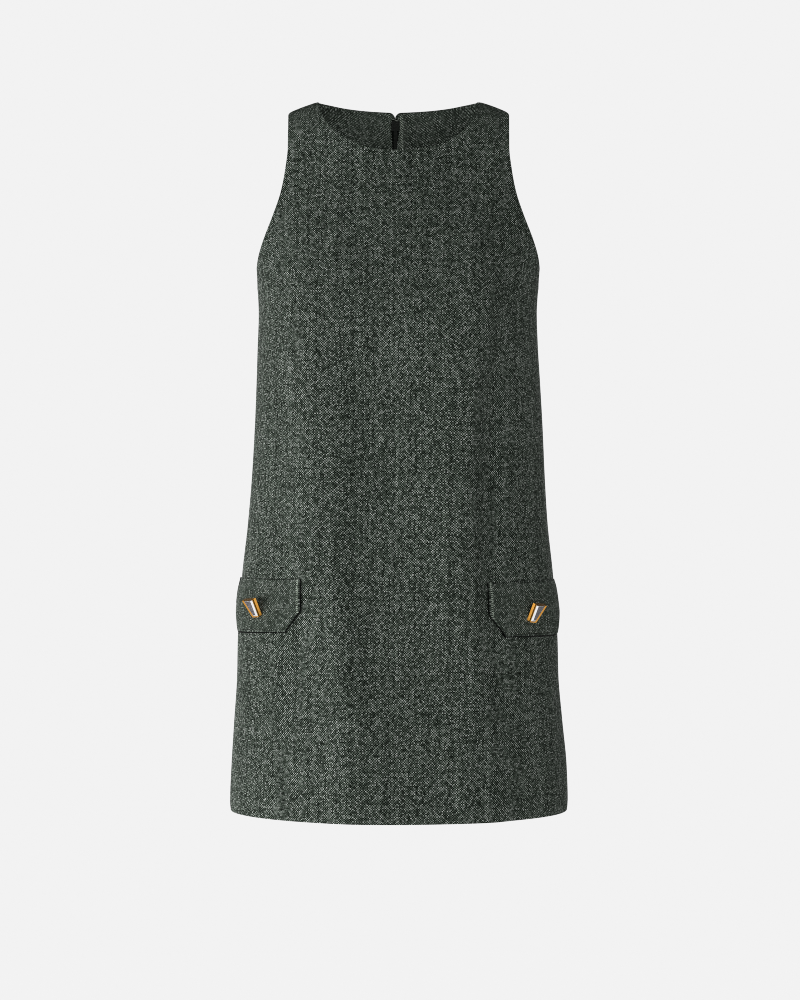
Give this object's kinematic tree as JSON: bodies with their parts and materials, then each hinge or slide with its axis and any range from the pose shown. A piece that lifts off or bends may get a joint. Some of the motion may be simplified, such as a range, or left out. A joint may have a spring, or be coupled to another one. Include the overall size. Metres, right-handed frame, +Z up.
{
  "type": "pinafore dress",
  "caption": "Sleeveless A-line pinafore dress in dark green tweed, filled out and hollow, with a boat neck, buttoned hip flaps and a concealed back zip.",
  "frame": {"origin": "midway between the two high shoulder points, where the dress hangs from the wearer", "axes": "+Z up, the front faces -Y, +X is the right of the front view"},
  "size_m": [0.394, 0.2956, 0.8276],
  "materials": {
    "tweed": "salt-and-pepper tweed, pale weft on near-black green warp",
    "zip_tape": "black woven zip tape",
    "zip_black": "black nylon coil",
    "zip_enamel": "black enamel",
    "gilt_metal": "polished gilt",
    "grey_stone": "faceted grey stone"
  },
  "bodies": {
    "root": {"front_panel": "tweed", "back_panel_left": "tweed", "back_panel_right": "tweed", "back_facing_left": "tweed", "back_facing_right": "tweed", "pocket_flap_left": "tweed", "pocket_flap_right": "tweed", "button_frame_left": "gilt_metal", "button_frame_right": "gilt_metal", "button_stone_left": "grey_stone", "button_stone_right": "grey_stone", "zip_tape": "zip_tape", "zip_chain": "zip_black", "zip_slider": "zip_black", "zip_pull": "zip_enamel"}
  },
  "joints": []
}
